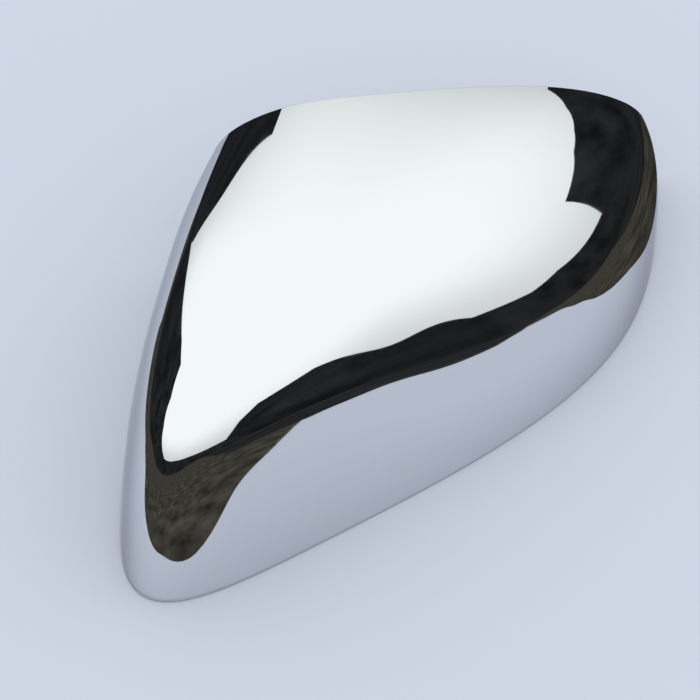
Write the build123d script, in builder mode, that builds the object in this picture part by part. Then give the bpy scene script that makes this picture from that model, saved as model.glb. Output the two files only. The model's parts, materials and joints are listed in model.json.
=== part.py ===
from build123d import *
import math
import os

# Wing mirror cover: one moulded shell, lying on its rim as it comes off the car and open at one end.
# +Z is up out of the rim plane and +Y is out of the open end. The origin is under the middle of its box.
# Lengths are in millimetres and angles in degrees.

# Rim outline: five side lines, each with the way it faces and its distance from the crown
LEFT_SIDE_FACING = 148.5
LEFT_SIDE_OFFSET = 58.0
TIP_SIDE_FACING = 178.5
TIP_SIDE_OFFSET = 78.0
FRONT_SIDE_FACING = -72.0
FRONT_SIDE_OFFSET = 57.5
RIGHT_SIDE_FACING = -31.5
RIGHT_SIDE_OFFSET = 108.0
RUN_OUT_FACING = 71.5
RUN_OUT_OFFSET = 159.0
CORNER_SHARPNESS = 4.2

# Open end: the dome runs out past it and is cut off square to +Y, at this distance from the crown
OPEN_END_OFFSET = 83.5

# Dome: a weighted cubic section from the rim to the crown, whose values change with its direction
DEPTH = 77.0
WALL = 2.5
CROWN_REACH = 44.5
CROWN_SPAN = 0.7
WALL_FULLNESS = 1.05
WALL_FULLNESS_ALONG_X = -0.15
WALL_FULLNESS_ALONG_Y = -0.1
SHOULDER_FULLNESS = 0.85
SHOULDER_FULLNESS_ALONG_X = 0.33
SHOULDER_FULLNESS_ALONG_Y = 0.06
RIM_LEAN = 7.1
RIM_LEAN_ALONG_X = -1.9
RIM_LEAN_ALONG_Y = -3.1
BULGE = 0.77
BULGE_ALONG_X = -0.51
BULGE_ALONG_Y = 0.22

# Snap hooks on the inside of the wall, at these directions from the crown
HOOK_DIRECTIONS = (110.0, 148.0, 188.0, -110.0, -70.0, -32.0, -8.0, 12.0)
HOOK_WIDTH = 12.0
HOOK_THICKNESS = 2.0
HOOK_STANDOFF = 8.0
HOOK_ROOT_HEIGHT = 26.0
HOOK_LENGTH = 20.0
BARB_REACH = 2.0
BARB_LEAD = 4.0
BARB_SEAT = 1.2
GUSSET_THICKNESS = 1.6
GUSSET_HEIGHT = 10.0

# Locating pins under the crown, at these distances and directions from it
PIN_PLACES = ((60.0, 30.0), (50.0, 215.0))
PIN_RADIUS = 3.0
PIN_LENGTH = 14.0
PIN_TIP_CHAMFER = 0.8
POST_RADIUS = 5.0
POST_LENGTH = 10.0
FOOT_DEPTH = 5.0
RIB_COUNT = 4
RIB_THICKNESS = 1.6
RIB_REACH = 13.0
RIB_HEIGHT = 8.0

# Net of curves that carries each skin: curves each way and points on a curve
NET_CURVES = 15
NET_POINTS = 29
SEARCH_TOLERANCE = 1e-9
RIM_SAMPLES = 36000

SIDES = (
    (LEFT_SIDE_FACING, LEFT_SIDE_OFFSET),
    (TIP_SIDE_FACING, TIP_SIDE_OFFSET),
    (FRONT_SIDE_FACING, FRONT_SIDE_OFFSET),
    (RIGHT_SIDE_FACING, RIGHT_SIDE_OFFSET),
    (RUN_OUT_FACING, RUN_OUT_OFFSET),
)


def plan_direction(angle):
    """Level direction at an angle from +X."""
    return Vector(math.cos(math.radians(angle)), math.sin(math.radians(angle)))


def rim_reach(angle, inset=0.0):
    """Distance from the crown's axis to the rim: the side lines run together in rounded corners."""
    closeness = 0.0
    for facing, offset in SIDES:
        across = max(0.0, math.cos(math.radians(angle - facing)))
        closeness += (across / (offset - inset)) ** CORNER_SHARPNESS
    return closeness ** (-1 / CORNER_SHARPNESS)


def box_middle():
    """Middle of the cover's box in plan, measured from the crown's axis."""
    samples = [360 * step / RIM_SAMPLES for step in range(RIM_SAMPLES)]
    rim = [plan_direction(angle) * rim_reach(angle) for angle in samples]
    kept = [point for point in rim if point.Y <= OPEN_END_OFFSET]
    xs = [point.X for point in kept]
    ys = [point.Y for point in kept]
    return Vector((min(xs) + max(xs)) / 2, (min(ys) + OPEN_END_OFFSET) / 2)


CROWN = box_middle() * -1


def skin_point(angle, travel, inset):
    """Point of a skin that lies inset within the outer one: travel is 0 at the crown and 1 at the rim."""
    nearness = min(1.0, travel / CROWN_SPAN)
    share = nearness**2 * (3 - 2 * nearness)
    outward = plan_direction(angle)

    def turned(middle, along_x, along_y):
        return middle + share * (along_x * outward.X + along_y * outward.Y)

    wall = turned(WALL_FULLNESS, WALL_FULLNESS_ALONG_X, WALL_FULLNESS_ALONG_Y)
    shoulder = turned(SHOULDER_FULLNESS, SHOULDER_FULLNESS_ALONG_X, SHOULDER_FULLNESS_ALONG_Y)
    lean = turned(RIM_LEAN, RIM_LEAN_ALONG_X, RIM_LEAN_ALONG_Y)
    bulge = turned(BULGE, BULGE_ALONG_X, BULGE_ALONG_Y)
    crown_reach = CROWN_REACH - inset
    reach = crown_reach + share * (rim_reach(angle, inset) - crown_reach)
    climb = 1 - travel
    rim_part = travel**3
    wall_part = bulge * 3 * climb * travel**2
    shoulder_part = bulge * 3 * climb**2 * travel
    crown_part = climb**3
    whole = rim_part + wall_part + shoulder_part + crown_part
    radius = (reach * (rim_part + wall_part + shoulder * shoulder_part) - lean * wall_part) / whole
    height = (DEPTH - inset) * (wall * wall_part + shoulder_part + crown_part) / whole
    return CROWN + outward * radius + Vector(0, 0, height)


def net_point(u, v, inset):
    """Point of a skin under a square net laid over it, with the crown mid-net and the rim at its edges."""
    x = u * math.sqrt(1 - v * v / 2)
    y = v * math.sqrt(1 - u * u / 2)
    return skin_point(math.degrees(math.atan2(y, x)), math.hypot(x, y), inset)


def skin(inset):
    """Smooth surface through a net of curves over the dome."""
    curves = [2 * step / (NET_CURVES - 1) - 1 for step in range(NET_CURVES)]
    points = [2 * step / (NET_POINTS - 1) - 1 for step in range(NET_POINTS)]
    even = [step / (NET_POINTS - 1) for step in range(NET_POINTS)]
    rows = [Edge.make_spline([net_point(u, v, inset) for u in points], parameters=even) for v in curves]
    columns = [Edge.make_spline([net_point(u, v, inset) for v in points], parameters=even) for u in curves]
    return Face.make_gordon_surface(rows, columns)


def inner_point(angle, passed):
    """Point of the inner skin, going out from the crown, at which a test of it first holds."""
    low = 0.0
    high = 1.0
    while high - low > SEARCH_TOLERANCE:
        middle = (low + high) / 2
        if passed(skin_point(angle, middle, WALL)):
            high = middle
        else:
            low = middle
    return skin_point(angle, high, WALL)


def wall_point(angle, height):
    """Point of the wall's inner face at a height."""
    return inner_point(angle, lambda point: point.Z <= height)


def ceiling_point(distance, angle):
    """Point of the inner face at a level distance from the crown's axis."""
    return inner_point(angle, lambda point: (point - CROWN).dot(plan_direction(angle)) >= distance)


def snap_hook(angle):
    """A shelf on the wall with two gussets over it and a barbed arm hanging from its edge."""
    up = Vector(0, 0, 1)
    root = wall_point(angle, HOOK_ROOT_HEIGHT)
    along_wall = wall_point(angle + 1, HOOK_ROOT_HEIGHT) - wall_point(angle - 1, HOOK_ROOT_HEIGHT)
    inward = up.cross(along_wall).normalized()
    side = Plane(origin=root, x_dir=inward, z_dir=inward.cross(up))
    arm_face = HOOK_STANDOFF + HOOK_THICKNESS
    barb_point = BARB_LEAD - HOOK_LENGTH
    with BuildPart() as hook:
        with BuildSketch(side):
            with BuildLine():
                Polyline(
                    (-HOOK_STANDOFF, 0),
                    (arm_face, 0),
                    (arm_face, barb_point + BARB_SEAT),
                    (arm_face + BARB_REACH, barb_point),
                    (arm_face, -HOOK_LENGTH),
                    (HOOK_STANDOFF, -HOOK_LENGTH),
                    (HOOK_STANDOFF, -HOOK_THICKNESS),
                    (-HOOK_STANDOFF, -HOOK_THICKNESS),
                    close=True,
                )
            make_face()
        extrude(amount=HOOK_WIDTH / 2, both=True)
        for end in (-1, 1):
            with BuildSketch(side.offset(end * (HOOK_WIDTH - GUSSET_THICKNESS) / 2)):
                with BuildLine():
                    Polyline(
                        (-HOOK_STANDOFF, 0),
                        (arm_face, 0),
                        (0, GUSSET_HEIGHT),
                        (-HOOK_STANDOFF, GUSSET_HEIGHT),
                        close=True,
                    )
                make_face()
            extrude(amount=GUSSET_THICKNESS / 2, both=True)
    return hook.part


def locating_pin(distance, angle):
    """A ribbed post under the ceiling with a plain round pin on its end."""
    ceiling = Plane(origin=ceiling_point(distance, angle))
    with BuildPart() as pin:
        with BuildSketch(ceiling.offset(-POST_LENGTH - PIN_LENGTH)):
            Circle(PIN_RADIUS)
        extrude(amount=PIN_LENGTH)
        chamfer(pin.edges().sort_by(Axis.Z)[0], PIN_TIP_CHAMFER)
        with BuildSketch(ceiling.offset(-POST_LENGTH)):
            Circle(POST_RADIUS)
        extrude(amount=POST_LENGTH + FOOT_DEPTH)
        for rib in range(RIB_COUNT):
            along = plan_direction(angle + 360 * rib / RIB_COUNT)
            with BuildSketch(Plane(origin=ceiling.origin, x_dir=along, z_dir=along.cross(Vector(0, 0, 1)))):
                with BuildLine():
                    Polyline(
                        (0, -RIB_HEIGHT),
                        (POST_RADIUS, -RIB_HEIGHT),
                        (RIB_REACH, 0),
                        (RIB_REACH, FOOT_DEPTH),
                        (0, FOOT_DEPTH),
                        close=True,
                    )
                make_face()
            extrude(amount=RIB_THICKNESS / 2, both=True)
    return pin.part


# Inside of the cover up to the middle of its wall, in which the fittings are rooted
middle_skin = skin(WALL / 2)
with BuildPart() as middle_form:
    add(Solid(Shell([middle_skin, Face(middle_skin.outer_wire())])))

with BuildPart() as fittings:
    for angle in HOOK_DIRECTIONS:
        add(snap_hook(angle))
    for distance, angle in PIN_PLACES:
        add(locating_pin(distance, angle))
    add(middle_form.part, mode=Mode.INTERSECT)

# Shell between the outer and inner skins, closed by the flat rim and cut off at the open end
outer_skin = skin(0)
inner_skin = skin(WALL)
with BuildPart() as cover:
    add(Solid(Shell([outer_skin, inner_skin, Face(outer_skin.outer_wire(), [inner_skin.outer_wire()])])))
    split(bisect_by=Plane(origin=CROWN + Vector(0, OPEN_END_OFFSET, 0), z_dir=(0, 1, 0)), keep=Keep.BOTTOM)
    add(fittings.part)

cover.part.label = "mirror_cover"
os.makedirs("parts", exist_ok=True)
export_step(cover.part, "parts/mirror_cover.step")
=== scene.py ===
"""Chrome-plated wing mirror cover, with the snap hooks and locating pins inside it."""

import json
import math
from functools import partialmethod

import bmesh
import bpy
from bpy.props import FloatProperty, FloatVectorProperty, IntProperty, PointerProperty
from bpy.types import Operator, Panel, PropertyGroup
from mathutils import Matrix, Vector
from mathutils.geometry import interpolate_bezier


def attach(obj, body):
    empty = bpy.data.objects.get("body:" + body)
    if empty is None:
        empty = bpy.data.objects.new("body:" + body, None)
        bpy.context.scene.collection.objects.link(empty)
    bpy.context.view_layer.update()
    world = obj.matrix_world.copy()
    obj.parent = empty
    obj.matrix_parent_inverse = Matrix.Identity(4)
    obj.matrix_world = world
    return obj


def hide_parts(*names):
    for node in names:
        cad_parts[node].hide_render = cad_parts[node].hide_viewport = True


bl_info = {
    "name": "Wing Mirror Cover",
    "version": (1, 0, 0),
    "blender": (4, 5, 0),
    "location": "3D View > Sidebar > Mirror Cover",
    "description": "Builds a chrome-plated wing mirror cover with snap hooks and locating pins",
    "category": "Add Mesh",
}

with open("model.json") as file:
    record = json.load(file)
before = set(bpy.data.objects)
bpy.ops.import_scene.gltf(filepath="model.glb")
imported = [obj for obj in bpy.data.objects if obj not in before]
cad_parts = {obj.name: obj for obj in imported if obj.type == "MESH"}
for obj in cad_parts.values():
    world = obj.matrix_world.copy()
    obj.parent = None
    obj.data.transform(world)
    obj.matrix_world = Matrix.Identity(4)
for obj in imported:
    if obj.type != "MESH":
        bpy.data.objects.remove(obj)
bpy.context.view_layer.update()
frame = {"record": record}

# Body and node that the pieces belong to, and the colour of the first material in the record
BODY = "root"
NODE = "mirror_cover"
CHROME_COLOUR = tuple(frame["record"]["materials"][0]["base_color"])

# Meshes: rounded edges, the cut end, the turned pins and the roots of hooks and pins
MERGE_DISTANCE = 1e-6
RAY_LENGTH = 0.5
SHARP_ANGLE = math.radians(40)
EDGE_SEGMENTS = 2
EDGE_PROFILE = 0.5
END_SEGMENTS = 4
END_MERGE_SHARE = 0.125
PIN_STEPS = 48
ROOTED_OVER = 0.5

# Shell: names of its values, and shares of its section in the outer skin and rim
SIDE_NUMBERS = range(1, 6)
TURNED_VALUES = ("Wall Fullness", "Shoulder Fullness", "Rim Lean", "Bulge")
TURNED_WAYS = ("", " X", " Y")
OUTER_SHARE = 0.56
RIM_SHARE = 0.06
RIM_SQUARENESS = 0.45
INNER_FACE_OVER = 0.97

# Plating: scale, detail and roughness of each noise, where it starts to show and how fast
SMUDGE_NOISE = (24, 5, 0.6)
SMUDGE_START = 0.48
SMUDGE_GAIN = 4.0
CLOUD_NOISE = (30, 3, 0.5)
CLOUD_START = 0.35
CLOUD_GAIN = 3.0
WAVE_NOISE = (26, 1, 0.5)
GRAIN_NOISE = (1400, 2, 0.5)
CHROME_MARKS = {"Roughness": 0.025, "Smudges": 0.03, "Clouds": 0.0, "Grain": 0.0}
CHROME_RELIEF = 0.00002
DULL_MARKS = {"Roughness": 0.3, "Smudges": 0.05, "Clouds": 0.12, "Grain": 0.6}
DULL_RELIEF = 0.00004

# Floor, and the outline of what the chrome shows of it before the darker ground begins
FLOOR_RADIUS = 8.0
FLOOR_DROP = 0.0002
FLOOR_STEPS = 96
MATT_ROUGHNESS = 0.9
SURROUND_REACH = 3.0
PALE_STEPS = 8
PALE_CORNERS = (
    (-0.2, -0.065), (-0.13, -0.105), (-0.09, -0.105), (-0.03, -0.142), (0.03, -0.17),
    (0.15, -0.265), (1.0, -0.9), (0.95, -0.44), (0.4, -0.11), (0.2, -0.025), (0.125, 0.03),
    (0.129, 0.08), (0.165, 0.6), (-0.3, 0.5), (-0.24, 0.24), (-0.25, 0.1), (-0.27, -0.01),
)

# Dark cards: directions in degrees with the height of the top in degrees, and for the strips
# at their feet with the distance of the near edge
CARD_DISTANCE = 2.4
CARD_STEP = 3
CARD_TOPS = (
    (
        (86, 10), (90, 20), (107, 10), (108, 8), (109, 12), (117, 40),
        (123, 47), (150, 48), (180, 36), (205, 14), (215, 9),
    ),
    (
        (215, 9), (297, 8), (304, 20), (312, 27), (322, 26),
        (328, 9), (339, 9), (349, 11), (371, 11),
    ),
    ((371, 11), (377, 23), (391, 23), (399, 21), (409, 17), (418, 11.5)),
)
CARD_FEET = (
    ((86, 0.26), (103, 0.26), (106, 0.28), (107.5, 0.48), (109, 2.0)),
    ((282, 0.3), (304, 0.36), (314, 0.5), (325, 0.7), (330, 1.0), (334, 1.6), (336, 2.3)),
    ((3, 1.5), (9, 0.62), (15, 0.42), (20, 0.335), (33, 0.3), (38, 0.243), (45, 0.19)),
)
FOOT_RISE = 0.0005

# Uneven tone of the dark ground and cards: its noise, the part that is used and its shades
SURROUND_MOTTLE = 45.0
CARD_MOTTLE = 2.5
MOTTLE_DETAIL = 8.0
MOTTLE_SPAN = (0.3, 0.75)
MOTTLE_SHADES = (0.35, 1.7)

# Light and camera
SKY_TOP = 0.65
SENSOR_WIDTH = 36.0
CLIP_START = 0.01
CLIP_END = 50.0


class ShellSizes(PropertyGroup):
    """Sizes of the domed shell."""

    crown_place: FloatVectorProperty(
        name="Crown place",
        description="Where the crown's axis meets the rim plane",
        size=2, default=(-0.042984, -0.004093), unit="LENGTH", precision=4,
    )
    side_facings: FloatVectorProperty(
        name="Side facings",
        description="Ways that the left side, tip side, front side, right side and run-out face",
        size=5,
        default=tuple(math.radians(angle) for angle in (148.5, 178.5, -72, -31.5, 71.5)),
        unit="ROTATION",
    )
    side_offsets: FloatVectorProperty(
        name="Side offsets",
        description="Distances of those five sides from the crown's axis",
        size=5, default=(0.058, 0.078, 0.0575, 0.108, 0.159), unit="LENGTH", precision=4,
    )
    corner_sharpness: FloatProperty(
        name="Corner sharpness", description="How tightly the five sides run together", default=4.2
    )
    open_end: FloatProperty(
        name="Open end",
        description="Distance from the crown's axis at which the dome is cut off",
        default=0.0835, unit="LENGTH", precision=4,
    )
    end_rounding: FloatProperty(
        name="End rounding",
        description="Rounding of the cut edge",
        default=0.0004, unit="LENGTH", precision=4,
    )
    depth: FloatProperty(
        name="Depth", description="Height of the crown over the rim", default=0.077, unit="LENGTH"
    )
    wall: FloatProperty(
        name="Wall",
        description="Thickness of the shell",
        default=0.0025, unit="LENGTH", precision=4,
    )
    rim_rounding: FloatProperty(
        name="Rim rounding",
        description="Height over which the rim's edge is rounded",
        default=0.0009, unit="LENGTH", precision=4,
    )
    crown_reach: FloatProperty(
        name="Crown reach",
        description="Radius that the crown starts from",
        default=0.0445, unit="LENGTH", precision=4,
    )
    crown_span: FloatProperty(
        name="Crown span",
        description="Share of the section over which the round crown turns into the rim's outline",
        default=0.7, subtype="FACTOR",
    )
    wall_fullness: FloatVectorProperty(
        name="Wall fullness",
        description="How high the wall stays upright, and its change along X and Y",
        size=3, default=(1.05, -0.15, -0.1),
    )
    shoulder_fullness: FloatVectorProperty(
        name="Shoulder fullness",
        description="How far out the crown stays flat, and its change along X and Y",
        size=3, default=(0.85, 0.33, 0.06),
    )
    rim_lean: FloatVectorProperty(
        name="Rim lean",
        description="How far the wall leans in over the rim, and its change along X and Y",
        size=3, default=(0.0071, -0.0019, -0.0031), unit="LENGTH", precision=4,
    )
    bulge: FloatVectorProperty(
        name="Bulge",
        description="How far the section swells out, and its change along X and Y",
        size=3, default=(0.77, -0.51, 0.22),
    )
    slices: IntProperty(name="Slices", description="Faces round the shell", default=336)
    stations: IntProperty(
        name="Stations", description="Points along the shell's section", default=150
    )


class HookSizes(PropertyGroup):
    """Sizes of the snap hooks."""

    directions: FloatVectorProperty(
        name="Hook directions",
        description="Directions of the hooks from the crown's axis",
        size=8,
        default=tuple(math.radians(a) for a in (110, 148, 188, -110, -70, -32, -8, 12)),
        unit="ROTATION",
    )
    width: FloatProperty(
        name="Hook width",
        description="Width of a hook along the wall",
        default=0.012, unit="LENGTH",
    )
    thickness: FloatProperty(
        name="Hook thickness",
        description="Thickness of the shelf and the arm",
        default=0.002, unit="LENGTH",
    )
    standoff: FloatProperty(
        name="Hook standoff",
        description="Gap between the arm and the wall",
        default=0.008, unit="LENGTH",
    )
    root_height: FloatProperty(
        name="Hook root height",
        description="Height of the shelf over the rim",
        default=0.026, unit="LENGTH",
    )
    length: FloatProperty(
        name="Hook length",
        description="Length of the arm below the shelf's top",
        default=0.02, unit="LENGTH",
    )
    barb: FloatVectorProperty(
        name="Barb",
        description="Reach of the barb, its sloping lead and its seat",
        size=3, default=(0.002, 0.004, 0.0012), unit="LENGTH", precision=4,
    )
    gusset: FloatVectorProperty(
        name="Gusset",
        description="Thickness and height of the gussets over the shelf",
        size=2, default=(0.0016, 0.01), unit="LENGTH", precision=4,
    )
    edge: FloatProperty(
        name="Edge rounding",
        description="Rounding of the moulded edges",
        default=0.0003, unit="LENGTH", precision=4,
    )


class PinSizes(PropertyGroup):
    """Sizes of the locating pins."""

    distances: FloatVectorProperty(
        name="Pin distances",
        description="Distances of the pins from the crown's axis",
        size=2, default=(0.06, 0.05), unit="LENGTH",
    )
    directions: FloatVectorProperty(
        name="Pin directions",
        description="Directions of the pins from the crown's axis",
        size=2, default=(math.radians(30), math.radians(215)), unit="ROTATION",
    )
    radius: FloatProperty(
        name="Pin radius", description="Radius of a pin", default=0.003, unit="LENGTH"
    )
    length: FloatProperty(
        name="Pin length",
        description="Length of a pin below its post",
        default=0.014, unit="LENGTH",
    )
    tip_chamfer: FloatProperty(
        name="Tip chamfer",
        description="Chamfer at the pin's tip",
        default=0.0008, unit="LENGTH", precision=4,
    )
    post_radius: FloatProperty(
        name="Post radius",
        description="Radius of the post under the ceiling",
        default=0.005, unit="LENGTH",
    )
    post_length: FloatProperty(
        name="Post length",
        description="Length of the post under the ceiling",
        default=0.01, unit="LENGTH",
    )
    rib_count: IntProperty(name="Ribs", description="Ribs round each post", default=4)
    rib: FloatVectorProperty(
        name="Rib",
        description="Thickness, reach and height of a rib",
        size=3, default=(0.0016, 0.013, 0.008), unit="LENGTH", precision=4,
    )
    edge: FloatProperty(
        name="Edge rounding",
        description="Rounding of the moulded edges",
        default=0.0003, unit="LENGTH", precision=4,
    )


class PlatingLook(PropertyGroup):
    """Colours and finish of the plating."""

    chrome: FloatVectorProperty(
        name="Chrome",
        description="Colour of the bright chrome outside",
        size=3, default=CHROME_COLOUR, subtype="COLOR",
    )
    chrome_edge: FloatVectorProperty(
        name="Chrome at a slant",
        description="Share of light that the chrome keeps where it is seen at a slant",
        size=3, default=(0.66, 0.665, 0.68), subtype="COLOR",
    )
    dull: FloatVectorProperty(
        name="Dull plating",
        description="Colour of the thin, dull plating inside",
        size=3, default=(0.60, 0.61, 0.62), subtype="COLOR",
    )
    dull_shade: FloatVectorProperty(
        name="Dull plating, shaded",
        description="Colour of its darker clouds",
        size=3, default=(0.45, 0.45, 0.46), subtype="COLOR",
    )


class StageLook(PropertyGroup):
    """Floor, light and camera."""

    floor: FloatVectorProperty(
        name="Floor",
        description="Colour of the pale floor",
        size=3, default=(0.54, 0.565, 0.675), subtype="COLOR",
    )
    surround: FloatVectorProperty(
        name="Surround",
        description="Colour of the darker ground that the chrome shows round the floor",
        size=3, default=(0.052, 0.047, 0.038), subtype="COLOR",
    )
    card: FloatVectorProperty(
        name="Cards",
        description="Colour of the dark cards that the chrome shows round the horizon",
        size=3, default=(0.02, 0.02, 0.021), subtype="COLOR",
    )
    sky: FloatVectorProperty(
        name="Sky",
        description="Colour of the soft light from above",
        size=3, default=(0.965, 1.0, 0.972), subtype="COLOR",
    )
    sky_low: FloatProperty(
        name="Light at the horizon",
        description="Strength of the light from the side",
        default=0.82,
    )
    sky_high: FloatProperty(
        name="Light from above",
        description="Strength of the light from straight above",
        default=1.28,
    )
    azimuth: FloatProperty(
        name="Camera azimuth",
        description="Direction of the camera round the cover",
        default=math.radians(-15.08), unit="ROTATION",
    )
    elevation: FloatProperty(
        name="Camera elevation",
        description="Height of the camera over the horizon",
        default=math.radians(46), unit="ROTATION",
    )
    distance: FloatProperty(
        name="Camera distance",
        description="Distance of the camera from its target",
        default=0.9, unit="LENGTH",
    )
    target: FloatVectorProperty(
        name="Camera target",
        description="Point in the middle of the picture",
        size=3, default=(-0.0242, -0.0044, 0.025), unit="LENGTH", precision=4,
    )
    lens: FloatProperty(name="Lens", description="Focal length in millimetres", default=131.2)


class Field:
    """A number in a node tree that takes plain arithmetic and turns it into Math nodes."""

    def __init__(self, tree, socket):
        self.tree = tree
        self.socket = socket

    def apply(self, operation, *others, clamp=False):
        made = self.tree.nodes.new("ShaderNodeMath")
        made.operation = operation
        made.use_clamp = clamp
        for place, value in zip(made.inputs, (self, *others)):
            feed(self.tree, place, value)
        return Field(self.tree, made.outputs[0])

    __add__ = __radd__ = partialmethod(apply, "ADD")
    __sub__ = partialmethod(apply, "SUBTRACT")
    __rsub__ = partialmethod(apply, "MULTIPLY_ADD", -1.0)
    __mul__ = __rmul__ = partialmethod(apply, "MULTIPLY")
    __truediv__ = partialmethod(apply, "DIVIDE")
    __pow__ = partialmethod(apply, "POWER")

    def __rtruediv__(self, other):
        return self**-1.0 * other


def feed(tree, place, value):
    """Links a socket or field to an input, or sets a plain value on it."""
    if isinstance(value, Field):
        value = value.socket
    if isinstance(value, bpy.types.NodeSocket):
        tree.links.new(value, place)
    else:
        place.default_value = value


def add_node(tree, kind, inputs=None, **settings):
    """Adds a node with its settings and feeds its inputs, by name or number."""
    made = tree.nodes.new(kind)
    for name, value in settings.items():
        setattr(made, name, value)
    for name, value in (inputs or {}).items():
        feed(tree, made.inputs[name], value)
    return made


def result(tree, kind, inputs=None, **settings):
    """Adds a node and returns its first output."""
    return add_node(tree, kind, inputs, **settings).outputs[0]


def vector(tree, x, y, z):
    """Combines three numbers into a vector."""
    return result(tree, "ShaderNodeCombineXYZ", {0: x, 1: y, 2: z})


def vector_math(tree, operation, *values):
    """Does one step of vector arithmetic."""
    step = add_node(tree, "ShaderNodeVectorMath", operation=operation)
    places = [place for place in step.inputs if place.enabled]
    for place, value in zip(places, values):
        feed(tree, place, value)
    return step.outputs[0]


def coordinates(tree, socket):
    """Splits a vector into three fields."""
    split = add_node(tree, "ShaderNodeSeparateXYZ", {0: socket})
    return [Field(tree, out) for out in split.outputs]


def read_mark(tree, label, kind="FLOAT"):
    """Reads a number or vector that points carry."""
    return result(tree, "GeometryNodeInputNamedAttribute", {"Name": label}, data_type=kind)


def number_mark(tree, label):
    """Reads a number that points carry, as a field."""
    return Field(tree, read_mark(tree, label))


def store_mark(tree, geometry, label, value, kind="FLOAT"):
    """Gives points a number or vector to carry."""
    given = {"Geometry": geometry, "Name": label, "Value": value}
    kept = "GeometryNodeStoreNamedAttribute"
    return result(tree, kept, given, data_type=kind, domain="POINT")


def move_points(tree, geometry, place, **choice):
    """Puts points at a place, all of them or a Selection."""
    given = {"Geometry": geometry, "Position": place, **choice}
    return result(tree, "GeometryNodeSetPosition", given)


def merge_points(tree, geometry):
    """Joins points that lie together."""
    given = {"Geometry": geometry, "Distance": MERGE_DISTANCE}
    return result(tree, "GeometryNodeMergeByDistance", given)


def object_geometry(tree, source):
    """Geometry of an object that the tree is given."""
    return add_node(tree, "GeometryNodeObjectInfo", {"Object": source}).outputs["Geometry"]


def copies(tree, points, source, **turned):
    """Copies an object to points, with a Rotation if one is given."""
    given = {"Points": points, "Instance": object_geometry(tree, source), **turned}
    return result(tree, "GeometryNodeInstanceOnPoints", given)


def realized(tree, geometry):
    """Turns copies into plain geometry."""
    return result(tree, "GeometryNodeRealizeInstances", {0: geometry})


def painted(tree, geometry, material, **choice):
    """Gives faces a material, all of them or a Selection."""
    given = {"Geometry": geometry, "Material": material, **choice}
    return result(tree, "GeometryNodeSetMaterial", given)


def shell_ray(tree, shell, start, direction):
    """Casts a ray at the shell; returns where it meets it and the way that face points."""
    given = {"Target Geometry": shell, "Source Position": start, "Ray Direction": direction}
    ray = add_node(tree, "GeometryNodeRaycast", {**given, "Ray Length": RAY_LENGTH})
    return ray.outputs["Hit Position"], ray.outputs["Hit Normal"]


def add_sockets(tree, way, **labels):
    """Gives a tree inputs or outputs, listed by kind."""
    for kind, names in labels.items():
        for name in names:
            tree.interface.new_socket(name, in_out=way, socket_type="NodeSocket" + kind)


def new_geometry_tree(name, **inputs):
    """Starts a geometry tree; returns it with a field or socket for each of its inputs."""
    tree = bpy.data.node_groups.new(name, "GeometryNodeTree")
    tree.is_modifier = True
    add_sockets(tree, "OUTPUT", Geometry=["Geometry"])
    add_sockets(tree, "INPUT", **inputs)
    source = tree.nodes.new("NodeGroupInput")
    fields = {}
    for out in source.outputs:
        if out.name:
            fields[out.name] = Field(tree, out) if out.type in ("VALUE", "INT") else out
    return tree, fields


def finish_tree(tree, geometry, material, **choice):
    """Ends a geometry tree in Realize Instances and Set Material."""
    plain = realized(tree, geometry)
    add_node(tree, "NodeGroupOutput", {0: painted(tree, plain, material, **choice)})


def add_object(name, data):
    """Adds an object to the scene."""
    made = bpy.data.objects.new(name, data)
    bpy.context.scene.collection.objects.link(made)
    return made


def drop(*objects):
    """Removes objects that have done their work, with their meshes."""
    for made in objects:
        mesh = made.data
        bpy.data.objects.remove(made)
        bpy.data.meshes.remove(mesh)


def run_tree(name, mesh, tree, values):
    """Makes an object from a mesh and a geometry tree, and leaves it with a plain mesh."""
    made = add_object(name, mesh)
    modifier = made.modifiers.new(name, "NODES")
    modifier.node_group = tree
    for item in tree.interface.items_tree:
        if item.in_out == "INPUT" and item.name in values:
            modifier[item.identifier] = values[item.name]
    depsgraph = bpy.context.evaluated_depsgraph_get()
    plain = bpy.data.meshes.new_from_object(
        made.evaluated_get(depsgraph), preserve_all_data_layers=True, depsgraph=depsgraph
    )
    if not plain.polygons:
        raise RuntimeError(f"{name} came out empty")
    made.modifiers.clear()
    plain.name = name
    made.data = plain
    return made


def hand_over(piece):
    """Ties a finished piece to the frame."""
    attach(piece, BODY)
    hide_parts(NODE)


def plating_marks_group():
    """Shader group: handling marks, polishing haze and the faint waves of a moulded surface."""
    name = "plating_marks"
    if name in bpy.data.node_groups:
        return bpy.data.node_groups[name]
    tree = bpy.data.node_groups.new(name, "ShaderNodeTree")
    add_sockets(tree, "INPUT", Float=["Roughness", "Smudges", "Clouds", "Grain"])
    add_sockets(tree, "OUTPUT", Float=["Roughness", "Height", "Clouds"])
    source = tree.nodes.new("NodeGroupInput")
    place = add_node(tree, "ShaderNodeTexCoord").outputs["Object"]

    def noise(scale, detail, roughness):
        given = {"Vector": place, "Scale": scale, "Detail": detail, "Roughness": roughness}
        return Field(tree, result(tree, "ShaderNodeTexNoise", given))

    base, smudges, clouds, grain = [Field(tree, out) for out in source.outputs if out.name]
    handled = (noise(*SMUDGE_NOISE) - SMUDGE_START).apply("MULTIPLY", SMUDGE_GAIN, clamp=True)
    cloudy = (noise(*CLOUD_NOISE) - CLOUD_START).apply("MULTIPLY", CLOUD_GAIN, clamp=True)
    marked = clouds * cloudy
    roughness = base + smudges * handled + marked
    height = noise(*WAVE_NOISE) + grain * noise(*GRAIN_NOISE)
    outputs = {"Roughness": roughness, "Height": height, "Clouds": marked}
    add_node(tree, "NodeGroupOutput", outputs)
    return tree


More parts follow.
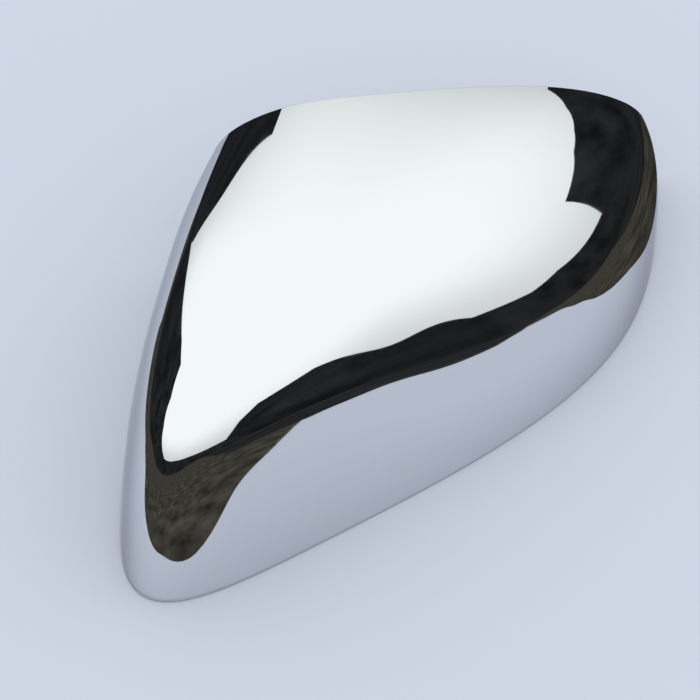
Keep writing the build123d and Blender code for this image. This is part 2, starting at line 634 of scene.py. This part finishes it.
def plated_material(name, marks, relief):
    """A metal with the plating marks; returns it with its shader and its marks."""
    material = bpy.data.materials.new(name)
    material.use_nodes = True
    tree = material.node_tree
    shader = tree.nodes["Principled BSDF"]
    shader.inputs["Metallic"].default_value = 1.0
    group = add_node(tree, "ShaderNodeGroup", marks, node_tree=plating_marks_group())
    raised = {"Height": group.outputs["Height"], "Strength": 1.0, "Distance": relief}
    bump = add_node(tree, "ShaderNodeBump", raised)
    tree.links.new(group.outputs["Roughness"], shader.inputs["Roughness"])
    tree.links.new(bump.outputs["Normal"], shader.inputs["Normal"])
    return material, shader, group


def bright_chrome(look):
    """Bright mirror plating of the outside and the rim."""
    material, shader, _ = plated_material("bright_chrome", CHROME_MARKS, CHROME_RELIEF)
    shader.inputs["Base Color"].default_value = (*look.chrome, 1.0)
    shader.inputs["Specular Tint"].default_value = (*look.chrome_edge, 1.0)
    return material


def dull_plating(look):
    """Thin, cloudy plating of the inside, where little metal reaches."""
    material, shader, group = plated_material("dull_plating", DULL_MARKS, DULL_RELIEF)
    tree = material.node_tree
    cloudy = add_node(tree, "ShaderNodeMix", data_type="RGBA")
    clear_colour, cloud_colour = [place for place in cloudy.inputs if place.type == "RGBA"]
    clear_colour.default_value = (*look.dull, 1.0)
    cloud_colour.default_value = (*look.dull_shade, 1.0)
    amount = Field(tree, group.outputs["Clouds"]) / DULL_MARKS["Clouds"]
    feed(tree, cloudy.inputs[0], amount)
    colour = next(out for out in cloudy.outputs if out.type == "RGBA")
    tree.links.new(colour, shader.inputs["Base Color"])
    return material


def finish_material(name, maker, look):
    """A finish that several pieces share, made once."""
    return bpy.data.materials.get(name) or maker(look)


def plain_material(name, colour):
    """A matt material of one colour, for the stage."""
    material = bpy.data.materials.new(name)
    material.use_nodes = True
    shader = material.node_tree.nodes["Principled BSDF"]
    shader.inputs["Base Color"].default_value = (*colour, 1.0)
    shader.inputs["Roughness"].default_value = MATT_ROUGHNESS
    shader.inputs["Specular IOR Level"].default_value = 0.0
    return material


def mottled_material(name, colour, scale):
    """A matt material whose colour is uneven, for the dark parts of the stage."""
    material = plain_material(name, colour)
    tree = material.node_tree
    where = add_node(tree, "ShaderNodeTexCoord").outputs["Object"]
    given = {"Vector": where, "Scale": scale, "Detail": MOTTLE_DETAIL}
    noise = result(tree, "ShaderNodeTexNoise", given)
    uneven = add_node(tree, "ShaderNodeValToRGB", {"Fac": noise})
    for stop, place, shade in zip(uneven.color_ramp.elements, MOTTLE_SPAN, MOTTLE_SHADES):
        stop.position = place
        stop.color = (*[shade * part for part in colour], 1.0)
    shader = tree.nodes["Principled BSDF"]
    tree.links.new(uneven.outputs[0], shader.inputs["Base Color"])
    return material


def shell_tree():
    """Geometry tree of the dome: a grid over the outer skin, round the rim and up inside."""
    labels = ["Crown X", "Crown Y", "Depth", "Wall", "Rim Rounding"]
    labels += ["Crown Reach", "Crown Span", "Corner Sharpness"]
    labels += [f"Side {n} {what}" for n in SIDE_NUMBERS for what in ("Facing", "Offset")]
    labels += [what + way for what in TURNED_VALUES for way in TURNED_WAYS]
    tree, given = new_geometry_tree(
        "cover_shell", Float=labels, Int=["Slices", "Stations"], Material=["Outside", "Inside"]
    )

    counts = {"Vertices X": given["Slices"] + 1, "Vertices Y": given["Stations"]}
    grid = result(tree, "GeometryNodeMeshGrid", {"Size X": 1.0, "Size Y": 1.0, **counts})
    across, along, _ = coordinates(tree, result(tree, "GeometryNodeInputPosition"))
    angle = (across + 0.5) * math.tau
    station = along + 0.5
    cosine = angle.apply("COSINE")
    sine = angle.apply("SINE")

    def turned(what, share):
        change = given[f"{what} X"] * cosine + given[f"{what} Y"] * sine
        return given[what] + change * share

    # Way along the section: down the outer skin, half a turn round the rim and up the inner skin
    turn = ((station - OUTER_SHARE) / RIM_SHARE).apply("ADD", 0.0, clamp=True) * math.pi
    inset = given["Wall"] / 2 * (1 - turn.apply("COSINE"))
    down = station / OUTER_SHARE
    back = (1 - station) / (1 - OUTER_SHARE - RIM_SHARE)
    skin = down.apply("MINIMUM", back).apply("MINIMUM", 1.0)
    steepness = given["Depth"] * turned("Wall Fullness", 1.0) * turned("Bulge", 1.0) * 3
    edge = given["Rim Rounding"] / steepness
    rounding = turn.apply("SINE").apply("MAXIMUM", 0.0) ** RIM_SQUARENESS
    travel = skin * (1 - edge) + edge * rounding

    # Rim outline: the side lines run together in rounded corners
    closeness = 0.0
    for number in SIDE_NUMBERS:
        facing = given[f"Side {number} Facing"]
        offset = given[f"Side {number} Offset"]
        toward = (angle - facing).apply("COSINE").apply("MAXIMUM", 0.0)
        closeness = (toward / (offset - inset)) ** given["Corner Sharpness"] + closeness
    rim_reach = closeness ** (-1 / given["Corner Sharpness"])

    # Weighted cubic section from the crown to the rim
    nearness = (travel / given["Crown Span"]).apply("MINIMUM", 1.0)
    share = nearness * nearness * (3 - nearness * 2)
    crown_reach = given["Crown Reach"] - inset
    reach = crown_reach + share * (rim_reach - crown_reach)
    bulge = turned("Bulge", share)
    climb = 1 - travel
    rim_part = travel * travel * travel
    wall_part = bulge * climb * travel * travel * 3
    shoulder_part = bulge * climb * climb * travel * 3
    crown_part = climb * climb * climb
    whole = rim_part + wall_part + shoulder_part + crown_part
    spread = reach * (rim_part + wall_part + turned("Shoulder Fullness", share) * shoulder_part)
    radius = (spread - turned("Rim Lean", share) * wall_part) / whole
    climbed = turned("Wall Fullness", share) * wall_part + shoulder_part + crown_part
    height = (given["Depth"] - inset) * climbed / whole
    x = given["Crown X"] + radius * cosine
    y = given["Crown Y"] + radius * sine

    marked = store_mark(tree, grid, "inner_face", inset / given["Wall"])
    closed = merge_points(tree, move_points(tree, marked, vector(tree, x, y, height)))
    outward = result(tree, "GeometryNodeFlipFaces", {"Mesh": closed})
    smooth = result(tree, "GeometryNodeSetShadeSmooth", {"Geometry": outward})
    plated = painted(tree, smooth, given["Outside"])
    is_inner = number_mark(tree, "inner_face").apply("GREATER_THAN", INNER_FACE_OVER)
    finish_tree(tree, plated, given["Inside"], Selection=is_inner)
    return tree


def border_loop(form):
    """Corners round the one open border of a mesh, in order."""
    side = next(side for side in form.edges if side.is_boundary)
    start = side.verts[0]
    loop = [start]
    corner = side.other_vert(start)
    while corner is not start:
        loop.append(corner)
        side = next(s for s in corner.link_edges if s.is_boundary and s is not side)
        corner = side.other_vert(corner)
    return loop


def cut_open_end(mesh, sizes, material_index):
    """Cuts the dome off at its open end and closes the cut with a flat face with rounded edges."""
    form = bmesh.new()
    form.from_mesh(mesh)
    rounding = sizes.end_rounding
    place = sizes.crown_place[1] + sizes.open_end - rounding
    outward = Vector((0.0, 1.0, 0.0))
    bmesh.ops.bisect_plane(
        form,
        geom=form.verts[:] + form.edges[:] + form.faces[:],
        dist=MERGE_DISTANCE,
        plane_co=outward * place,
        plane_no=outward,
        clear_outer=True,
    )
    border = [corner for corner in form.verts if corner.is_boundary]
    bmesh.ops.remove_doubles(form, verts=border, dist=rounding * END_MERGE_SHARE)
    loop = border_loop(form)
    area = sum(a.co.x * b.co.z - b.co.x * a.co.z for a, b in zip(loop, loop[1:] + loop[:1]))
    if area > 0:
        loop.reverse()
    inward = []
    for before, after in zip(loop[-1:] + loop[:-1], loop[1:] + loop[:1]):
        inward.append((after.co - before.co).cross(outward).normalized() * -1)
    rings = [loop]
    for step in range(1, END_SEGMENTS + 1):
        turn = math.pi / 2 * step / END_SEGMENTS
        drawn = rounding * (1 - math.cos(turn))
        raised = outward * (rounding * math.sin(turn))
        places = [corner.co + way * drawn + raised for corner, way in zip(loop, inward)]
        rings.append([form.verts.new(place) for place in places])
    made = []
    for lower, upper in zip(rings, rings[1:]):
        for index in range(len(loop)):
            corners = (lower[index - 1], lower[index], upper[index], upper[index - 1])
            made.append(form.faces.new(corners))
    made.append(form.faces.new(rings[-1]))
    for face in made:
        face.material_index = material_index
        face.smooth = True
    for ring in (rings[0], rings[-1]):
        for index in range(len(ring)):
            form.edges.get((ring[index - 1], ring[index])).smooth = False
    form.to_mesh(mesh)
    form.free()


def crown_values(sizes):
    """Values that every tree takes from the shell's sizes."""
    return {"Crown X": sizes.crown_place[0], "Crown Y": sizes.crown_place[1], "Wall": sizes.wall}


def build_shell(scene):
    """Makes the shell."""
    sizes = scene.cover_shell
    look = scene.cover_plating
    bright = finish_material("bright_chrome", bright_chrome, look)
    values = {
        **crown_values(sizes),
        "Depth": sizes.depth,
        "Rim Rounding": sizes.rim_rounding,
        "Crown Reach": sizes.crown_reach,
        "Crown Span": sizes.crown_span,
        "Corner Sharpness": sizes.corner_sharpness,
        "Slices": sizes.slices,
        "Stations": sizes.stations,
        "Outside": bright,
        "Inside": finish_material("dull_plating", dull_plating, look),
    }
    for number, facing, offset in zip(SIDE_NUMBERS, sizes.side_facings, sizes.side_offsets):
        values[f"Side {number} Facing"] = facing
        values[f"Side {number} Offset"] = offset
    turned = (sizes.wall_fullness, sizes.shoulder_fullness, sizes.rim_lean, sizes.bulge)
    for what, numbers in zip(TURNED_VALUES, turned):
        for way, value in zip(TURNED_WAYS, numbers):
            values[what + way] = value
    shell = run_tree("cover_shell", bpy.data.meshes.new("cover_shell"), shell_tree(), values)
    cut_open_end(shell.data, sizes, shell.data.materials.find(bright.name))
    hand_over(shell)


def new_form():
    """Starts an edited mesh whose points can be marked as rooted."""
    form = bmesh.new()
    return form, form.verts.layers.float.new("rooted")


def mesh_from_form(name, form):
    """Turns an edited mesh into mesh data with smooth faces and sharp corners."""
    bmesh.ops.recalc_face_normals(form, faces=form.faces)
    mesh = bpy.data.meshes.new(name)
    form.to_mesh(mesh)
    form.free()
    for face in mesh.polygons:
        face.use_smooth = True
    mesh.set_sharp_from_angle(angle=SHARP_ANGLE)
    return mesh


def add_plate(form, outline, middle, thickness, root, edge):
    """Adds a plate drawn in the XZ plane, marks its root and rounds its other edges."""
    low = [form.verts.new((x, middle - thickness / 2, z)) for x, z in outline]
    high = [form.verts.new((x, middle + thickness / 2, z)) for x, z in outline]
    faces = [form.faces.new(low), form.faces.new(high[::-1])]
    for index in range(len(outline)):
        after = (index + 1) % len(outline)
        faces.append(form.faces.new((low[index], high[index], high[after], low[after])))
    rooted = form.verts.layers.float["rooted"]
    for corner in low + high:
        corner[rooted] = float(root(corner.co))
    sides = {side for face in faces for side in face.edges}
    bmesh.ops.bevel(
        form,
        geom=[side for side in sides if not any(v[rooted] > ROOTED_OVER for v in side.verts)],
        offset=edge,
        offset_type="OFFSET",
        segments=EDGE_SEGMENTS,
        profile=EDGE_PROFILE,
        affect="EDGES",
        clamp_overlap=True,
    )


def hook_mesh(sizes):
    """One snap hook: a shelf, a barbed arm under its edge and two gussets; X points inwards."""
    form, _ = new_form()
    arm_face = sizes.standoff + sizes.thickness
    reach, lead, seat = sizes.barb
    barb_point = lead - sizes.length
    arm = [
        (-sizes.standoff, 0.0),
        (arm_face, 0.0),
        (arm_face, barb_point + seat),
        (arm_face + reach, barb_point),
        (arm_face, -sizes.length),
        (sizes.standoff, -sizes.length),
        (sizes.standoff, -sizes.thickness),
        (-sizes.standoff, -sizes.thickness),
    ]

    def at_wall(place):
        return place.x < MERGE_DISTANCE

    add_plate(form, arm, 0.0, sizes.width, at_wall, sizes.edge)
    thickness, height = sizes.gusset
    gusset = [
        (-sizes.standoff, -sizes.thickness / 2),
        (arm_face - sizes.edge, -sizes.thickness / 2),
        (arm_face - sizes.edge, 0.0),
        (0.0, height),
    ]
    place = (sizes.width - thickness) / 2 - sizes.edge
    for middle in (-place, place):
        add_plate(form, gusset, middle, thickness, at_wall, sizes.edge)
    return mesh_from_form("snap_hook", form)


def marked_points(name, **marks):
    """A mesh of loose points that carry numbers."""
    count = len(next(iter(marks.values())))
    mesh = bpy.data.meshes.new(name)
    mesh.from_pydata([(0.0, 0.0, 0.0)] * count, [], [])
    for label, values in marks.items():
        mesh.attributes.new(label, "FLOAT", "POINT").data.foreach_set("value", list(values))
    return mesh


def hooks_tree():
    """Geometry tree of the hooks: each stands against the wall, and its root follows it."""
    tree, given = new_geometry_tree(
        "snap_hooks",
        Geometry=["Geometry"],
        Object=["Shell", "Hook"],
        Material=["Finish"],
        Float=["Crown X", "Crown Y", "Root Height", "Root Clearance", "Wall"],
    )
    shell = object_geometry(tree, given["Shell"])
    direction = number_mark(tree, "direction")
    outward = vector(tree, direction.apply("COSINE"), direction.apply("SINE"), 0.0)
    axis = vector(tree, given["Crown X"], given["Crown Y"], given["Root Height"])
    wall_place, wall_normal = shell_ray(tree, shell, axis, outward)
    level = vector_math(tree, "MULTIPLY", wall_normal, (1.0, 1.0, 0.0))
    inward = vector_math(tree, "NORMALIZE", level)
    marked = store_mark(tree, given["Geometry"], "inward", inward, "FLOAT_VECTOR")
    points = move_points(tree, marked, wall_place)
    way = read_mark(tree, "inward", "FLOAT_VECTOR")
    facing = result(
        tree, "FunctionNodeAlignRotationToVector", {"Vector": way}, axis="X", pivot_axis="Z"
    )
    hooks = realized(tree, copies(tree, points, given["Hook"], Rotation=facing))
    here = result(tree, "GeometryNodeInputPosition")
    clear = vector_math(tree, "SCALE", way, given["Root Clearance"])
    start = vector_math(tree, "ADD", here, clear)
    back = vector_math(tree, "SCALE", way, -1.0)
    root_place, _ = shell_ray(tree, shell, start, back)
    sink = vector_math(tree, "SCALE", back, given["Wall"] / 2)
    is_rooted = number_mark(tree, "rooted").apply("GREATER_THAN", ROOTED_OVER)
    root = vector_math(tree, "ADD", root_place, sink)
    seated = move_points(tree, hooks, root, Selection=is_rooted)
    finish_tree(tree, seated, given["Finish"])
    return tree


def fitting_values(scene):
    """Values that the trees of the hooks and the pins share."""
    return {
        **crown_values(scene.cover_shell),
        "Shell": scene.objects["cover_shell"],
        "Finish": finish_material("dull_plating", dull_plating, scene.cover_plating),
    }


def build_hooks(scene):
    """Makes the snap hooks."""
    sizes = scene.cover_hooks
    hook = add_object("hook_pattern", hook_mesh(sizes))
    values = {
        **fitting_values(scene),
        "Hook": hook,
        "Root Height": sizes.root_height,
        "Root Clearance": 2 * sizes.standoff,
    }
    points = marked_points("hook_points", direction=sizes.directions)
    hooks = run_tree("snap_hooks", points, hooks_tree(), values)
    drop(hook)
    hand_over(hooks)


def post_mesh(sizes):
    """A post with a plain round pin on its end, turned about Z and hanging from Z = 0."""
    shoulder = -sizes.post_length
    tip = shoulder - sizes.length
    edge = sizes.edge
    profile = [
        (sizes.radius - sizes.tip_chamfer, tip),
        (sizes.radius, tip + sizes.tip_chamfer),
        (sizes.radius, shoulder - edge),
        (sizes.radius + edge, shoulder),
        (sizes.post_radius - edge, shoulder),
        (sizes.post_radius, shoulder + edge),
        (sizes.post_radius, 0.0),
    ]
    form, rooted = new_form()
    rings = []
    for radius, height in profile:
        ring = []
        for step in range(PIN_STEPS):
            turn = math.tau * step / PIN_STEPS
            place = (radius * math.cos(turn), radius * math.sin(turn), height)
            ring.append(form.verts.new(place))
        rings.append(ring)
    for corner in rings[-1]:
        corner[rooted] = 1.0
    for lower, upper in zip(rings, rings[1:]):
        for step in range(PIN_STEPS):
            after = (step + 1) % PIN_STEPS
            form.faces.new((lower[step], lower[after], upper[after], upper[step]))
    form.faces.new(rings[0][::-1])
    form.faces.new(rings[-1])
    return mesh_from_form("locating_pin", form)


def rib_mesh(sizes):
    """One rib of a post, along X."""
    form, _ = new_form()
    thickness, reach, height = sizes.rib
    top = sizes.post_radius
    start = sizes.post_radius / 2
    outline = [
        (start, -height),
        (sizes.post_radius, -height),
        (reach, 0.0),
        (reach, top),
        (start, top),
    ]

    def at_ceiling(place):
        return place.z > top - MERGE_DISTANCE

    add_plate(form, outline, 0.0, thickness, at_ceiling, sizes.edge)
    return mesh_from_form("post_rib", form)


def pins_tree():
    """Geometry tree of the pins: posts and ribs hang from the ceiling, and roots follow it."""
    tree, given = new_geometry_tree(
        "locating_pins",
        Geometry=["Geometry"],
        Object=["Shell", "Post", "Rib"],
        Material=["Finish"],
        Int=["Ribs"],
        Float=["Crown X", "Crown Y", "Wall"],
    )
    shell = object_geometry(tree, given["Shell"])
    up = (0.0, 0.0, 1.0)
    direction = number_mark(tree, "direction")
    distance = number_mark(tree, "distance")
    foot_x = given["Crown X"] + distance * direction.apply("COSINE")
    foot_y = given["Crown Y"] + distance * direction.apply("SINE")
    ceiling, _ = shell_ray(tree, shell, vector(tree, foot_x, foot_y, 0.0), up)
    points = move_points(tree, given["Geometry"], ceiling)
    posts = copies(tree, points, given["Post"])
    repeated = add_node(
        tree,
        "GeometryNodeDuplicateElements",
        {"Geometry": points, "Amount": given["Ribs"]},
        domain="POINT",
    )
    number = Field(tree, repeated.outputs["Duplicate Index"])
    turn = vector(tree, 0.0, 0.0, direction + number * math.tau / given["Ribs"])
    ribs = copies(tree, repeated.outputs["Geometry"], given["Rib"], Rotation=turn)
    both = tree.nodes.new("GeometryNodeJoinGeometry")
    tree.links.new(posts, both.inputs[0])
    tree.links.new(ribs, both.inputs[0])
    pins = realized(tree, both.outputs[0])
    x, y, z = coordinates(tree, result(tree, "GeometryNodeInputPosition"))
    over, _ = shell_ray(tree, shell, vector(tree, x, y, 0.0), up)
    limit = coordinates(tree, over)[2] + given["Wall"] / 2
    rooted = number_mark(tree, "rooted")
    height = rooted * limit + (1 - rooted) * z.apply("MINIMUM", limit)
    seated = move_points(tree, pins, vector(tree, x, y, height))
    finish_tree(tree, merge_points(tree, seated), given["Finish"])
    return tree


def build_pins(scene):
    """Makes the locating pins."""
    sizes = scene.cover_pins
    post = add_object("post_pattern", post_mesh(sizes))
    rib = add_object("rib_pattern", rib_mesh(sizes))
    values = {**fitting_values(scene), "Post": post, "Rib": rib, "Ribs": sizes.rib_count}
    points = marked_points("pin_points", direction=sizes.directions, distance=sizes.distances)
    pins = run_tree("locating_pins", points, pins_tree(), values)
    drop(post, rib)
    hand_over(pins)


def stage_object(name, corners, faces, material):
    """A flat piece of the stage."""
    mesh = bpy.data.meshes.new(name)
    mesh.from_pydata(corners, [], faces)
    mesh.materials.append(material)
    made = add_object(name, mesh)
    return made


def only_in_reflections(made):
    """Leaves a stage piece to be seen in the chrome alone."""
    for rays in ("camera", "diffuse", "shadow", "transmission"):
        setattr(made, f"visible_{rays}", False)


def floor_disc(look):
    """The pale floor."""
    rim = []
    for step in range(FLOOR_STEPS):
        turn = math.tau * step / FLOOR_STEPS
        rim.append((FLOOR_RADIUS * math.cos(turn), FLOOR_RADIUS * math.sin(turn), -FLOOR_DROP))
    stage_object("floor", rim, [range(FLOOR_STEPS)], plain_material("pale_floor", look.floor))


def smooth_loop(corners, steps):
    """A smooth closed line through corners."""
    line = []
    count = len(corners)
    for index in range(count):
        near = [Vector(corners[(index + shift) % count]) for shift in (-1, 0, 1, 2)]
        before, start, end, after = near
        reach = (end - start).length / 3
        leaving = start + (end - before).normalized() * reach
        arriving = end - (after - start).normalized() * reach
        line += interpolate_bezier(start, leaving, arriving, end, steps + 1)[:-1]
    return line


def surround(look):
    """Darker ground round the pale floor, seen in the chrome alone."""
    inner = [(x, y, 0.0) for x, y in smooth_loop(PALE_CORNERS, PALE_STEPS)]
    outer = []
    for x, y, _ in inner:
        stretch = SURROUND_REACH / math.hypot(x, y)
        outer.append((x * stretch, y * stretch, 0.0))
    count = len(inner)
    faces = [(i, (i + 1) % count, count + (i + 1) % count, count + i) for i in range(count)]
    material = mottled_material("surround", look.surround, SURROUND_MOTTLE)
    only_in_reflections(stage_object("surround", inner + outer, faces, material))


def swept(profile):
    """Directions and values along a line that is given at a few directions."""
    for (start, low), (end, high) in zip(profile, profile[1:]):
        steps = math.ceil((end - start) / CARD_STEP)
        for step in range(steps + 1):
            share = step / steps
            turn = math.radians(start + (end - start) * share)
            yield math.cos(turn), math.sin(turn), low + (high - low) * share


def dark_card(name, corners, material):
    """One strip of dark card, from pairs of corners, seen in the chrome alone."""
    faces = [(i, i + 2, i + 3, i + 1) for i in range(0, len(corners) - 2, 2)]
    only_in_reflections(stage_object(name, corners, faces, material))


def dark_cards(look):
    """Dark cards that stand round the horizon, and dark strips that lie at their feet."""
    material = mottled_material("dark_card", look.card, CARD_MOTTLE)
    for number, profile in enumerate(CARD_TOPS, 1):
        corners = []
        for x, y, rise in swept(profile):
            place = (x * CARD_DISTANCE, y * CARD_DISTANCE)
            corners += [(*place, 0.0), (*place, CARD_DISTANCE * math.tan(math.radians(rise)))]
        dark_card(f"dark_card_{number}", corners, material)
    for number, profile in enumerate(CARD_FEET, 1):
        corners = []
        for x, y, near in swept(profile):
            corners += [(x * reach, y * reach, FOOT_RISE) for reach in (near, CARD_DISTANCE)]
        dark_card(f"dark_foot_{number}", corners, material)


def soft_sky(look):
    """World of soft light, brightest from above."""
    world = bpy.data.worlds.new("soft_sky")
    world.use_nodes = True
    bpy.context.scene.world = world
    tree = world.node_tree
    background = tree.nodes["Background"]
    background.inputs["Color"].default_value = (*look.sky, 1.0)
    where = add_node(tree, "ShaderNodeTexCoord").outputs["Generated"]
    _, _, height = coordinates(tree, where)
    span = {"From Min": 0.0, "From Max": SKY_TOP, "To Min": look.sky_low, "To Max": look.sky_high}
    strength = result(
        tree, "ShaderNodeMapRange", {"Value": height, **span}, interpolation_type="SMOOTHSTEP"
    )
    tree.links.new(strength, background.inputs["Strength"])


def camera(look):
    """Camera at the angle of the picture."""
    data = bpy.data.cameras.new("camera")
    data.lens = look.lens
    data.sensor_width = SENSOR_WIDTH
    data.clip_start = CLIP_START
    data.clip_end = CLIP_END
    made = add_object("camera", data)
    level = math.cos(look.elevation)
    x = math.sin(look.azimuth) * level
    y = -math.cos(look.azimuth) * level
    back = Vector((x, y, math.sin(look.elevation)))
    made.location = Vector(look.target) + back * look.distance
    made.rotation_mode = "QUATERNION"
    made.rotation_quaternion = (-back).to_track_quat("-Z", "Y")
    bpy.context.scene.camera = made


def build_stage(scene):
    """Sets up the floor, light and camera."""
    look = scene.cover_stage
    floor_disc(look)
    surround(look)
    dark_cards(look)
    soft_sky(look)
    camera(look)
    scene.view_settings.view_transform = "Standard"


class MIRRORCOVER_OT_shell(Operator):
    """Build the domed shell of the cover"""

    bl_idname = "mirror_cover.shell"
    bl_label = "Build Shell"

    def execute(self, context):
        build_shell(context.scene)
        return {"FINISHED"}


class MIRRORCOVER_OT_hooks(Operator):
    """Build the snap hooks on the inside of the wall"""

    bl_idname = "mirror_cover.hooks"
    bl_label = "Build Snap Hooks"

    def execute(self, context):
        build_hooks(context.scene)
        return {"FINISHED"}


class MIRRORCOVER_OT_pins(Operator):
    """Build the locating pins under the crown"""

    bl_idname = "mirror_cover.pins"
    bl_label = "Build Locating Pins"

    def execute(self, context):
        build_pins(context.scene)
        return {"FINISHED"}


class MIRRORCOVER_OT_stage(Operator):
    """Set up the floor, the light and the camera"""

    bl_idname = "mirror_cover.stage"
    bl_label = "Set Up Stage"

    def execute(self, context):
        build_stage(context.scene)
        return {"FINISHED"}


SECTIONS = (
    ("Shell", "cover_shell", ShellSizes, "mirror_cover.shell"),
    ("Snap hooks", "cover_hooks", HookSizes, "mirror_cover.hooks"),
    ("Locating pins", "cover_pins", PinSizes, "mirror_cover.pins"),
    ("Plating", "cover_plating", PlatingLook, None),
    ("Stage", "cover_stage", StageLook, "mirror_cover.stage"),
)


class MIRRORCOVER_PT_sidebar(Panel):
    """Sizes, colours and steps of the cover"""

    bl_idname = "MIRRORCOVER_PT_sidebar"
    bl_label = "Wing Mirror Cover"
    bl_space_type = "VIEW_3D"
    bl_region_type = "UI"
    bl_category = "Mirror Cover"

    def draw(self, context):
        for heading, name, group, step in SECTIONS:
            box = self.layout.box()
            box.label(text=heading)
            settings = getattr(context.scene, name)
            for label in group.__annotations__:
                box.prop(settings, label)
            if step:
                box.operator(step)


CLASSES = (
    ShellSizes,
    HookSizes,
    PinSizes,
    PlatingLook,
    StageLook,
    MIRRORCOVER_OT_shell,
    MIRRORCOVER_OT_hooks,
    MIRRORCOVER_OT_pins,
    MIRRORCOVER_OT_stage,
    MIRRORCOVER_PT_sidebar,
)


def register():
    for kind in CLASSES:
        bpy.utils.register_class(kind)
    for _, name, group, _ in SECTIONS:
        setattr(bpy.types.Scene, name, PointerProperty(type=group))


def unregister():
    for _, name, _, _ in SECTIONS:
        delattr(bpy.types.Scene, name)
    for kind in reversed(CLASSES):
        bpy.utils.unregister_class(kind)


def main():
    register()
    bpy.ops.mirror_cover.shell()
    bpy.ops.mirror_cover.hooks()
    bpy.ops.mirror_cover.pins()
    bpy.ops.mirror_cover.stage()


if __name__ == "__main__":
    main()
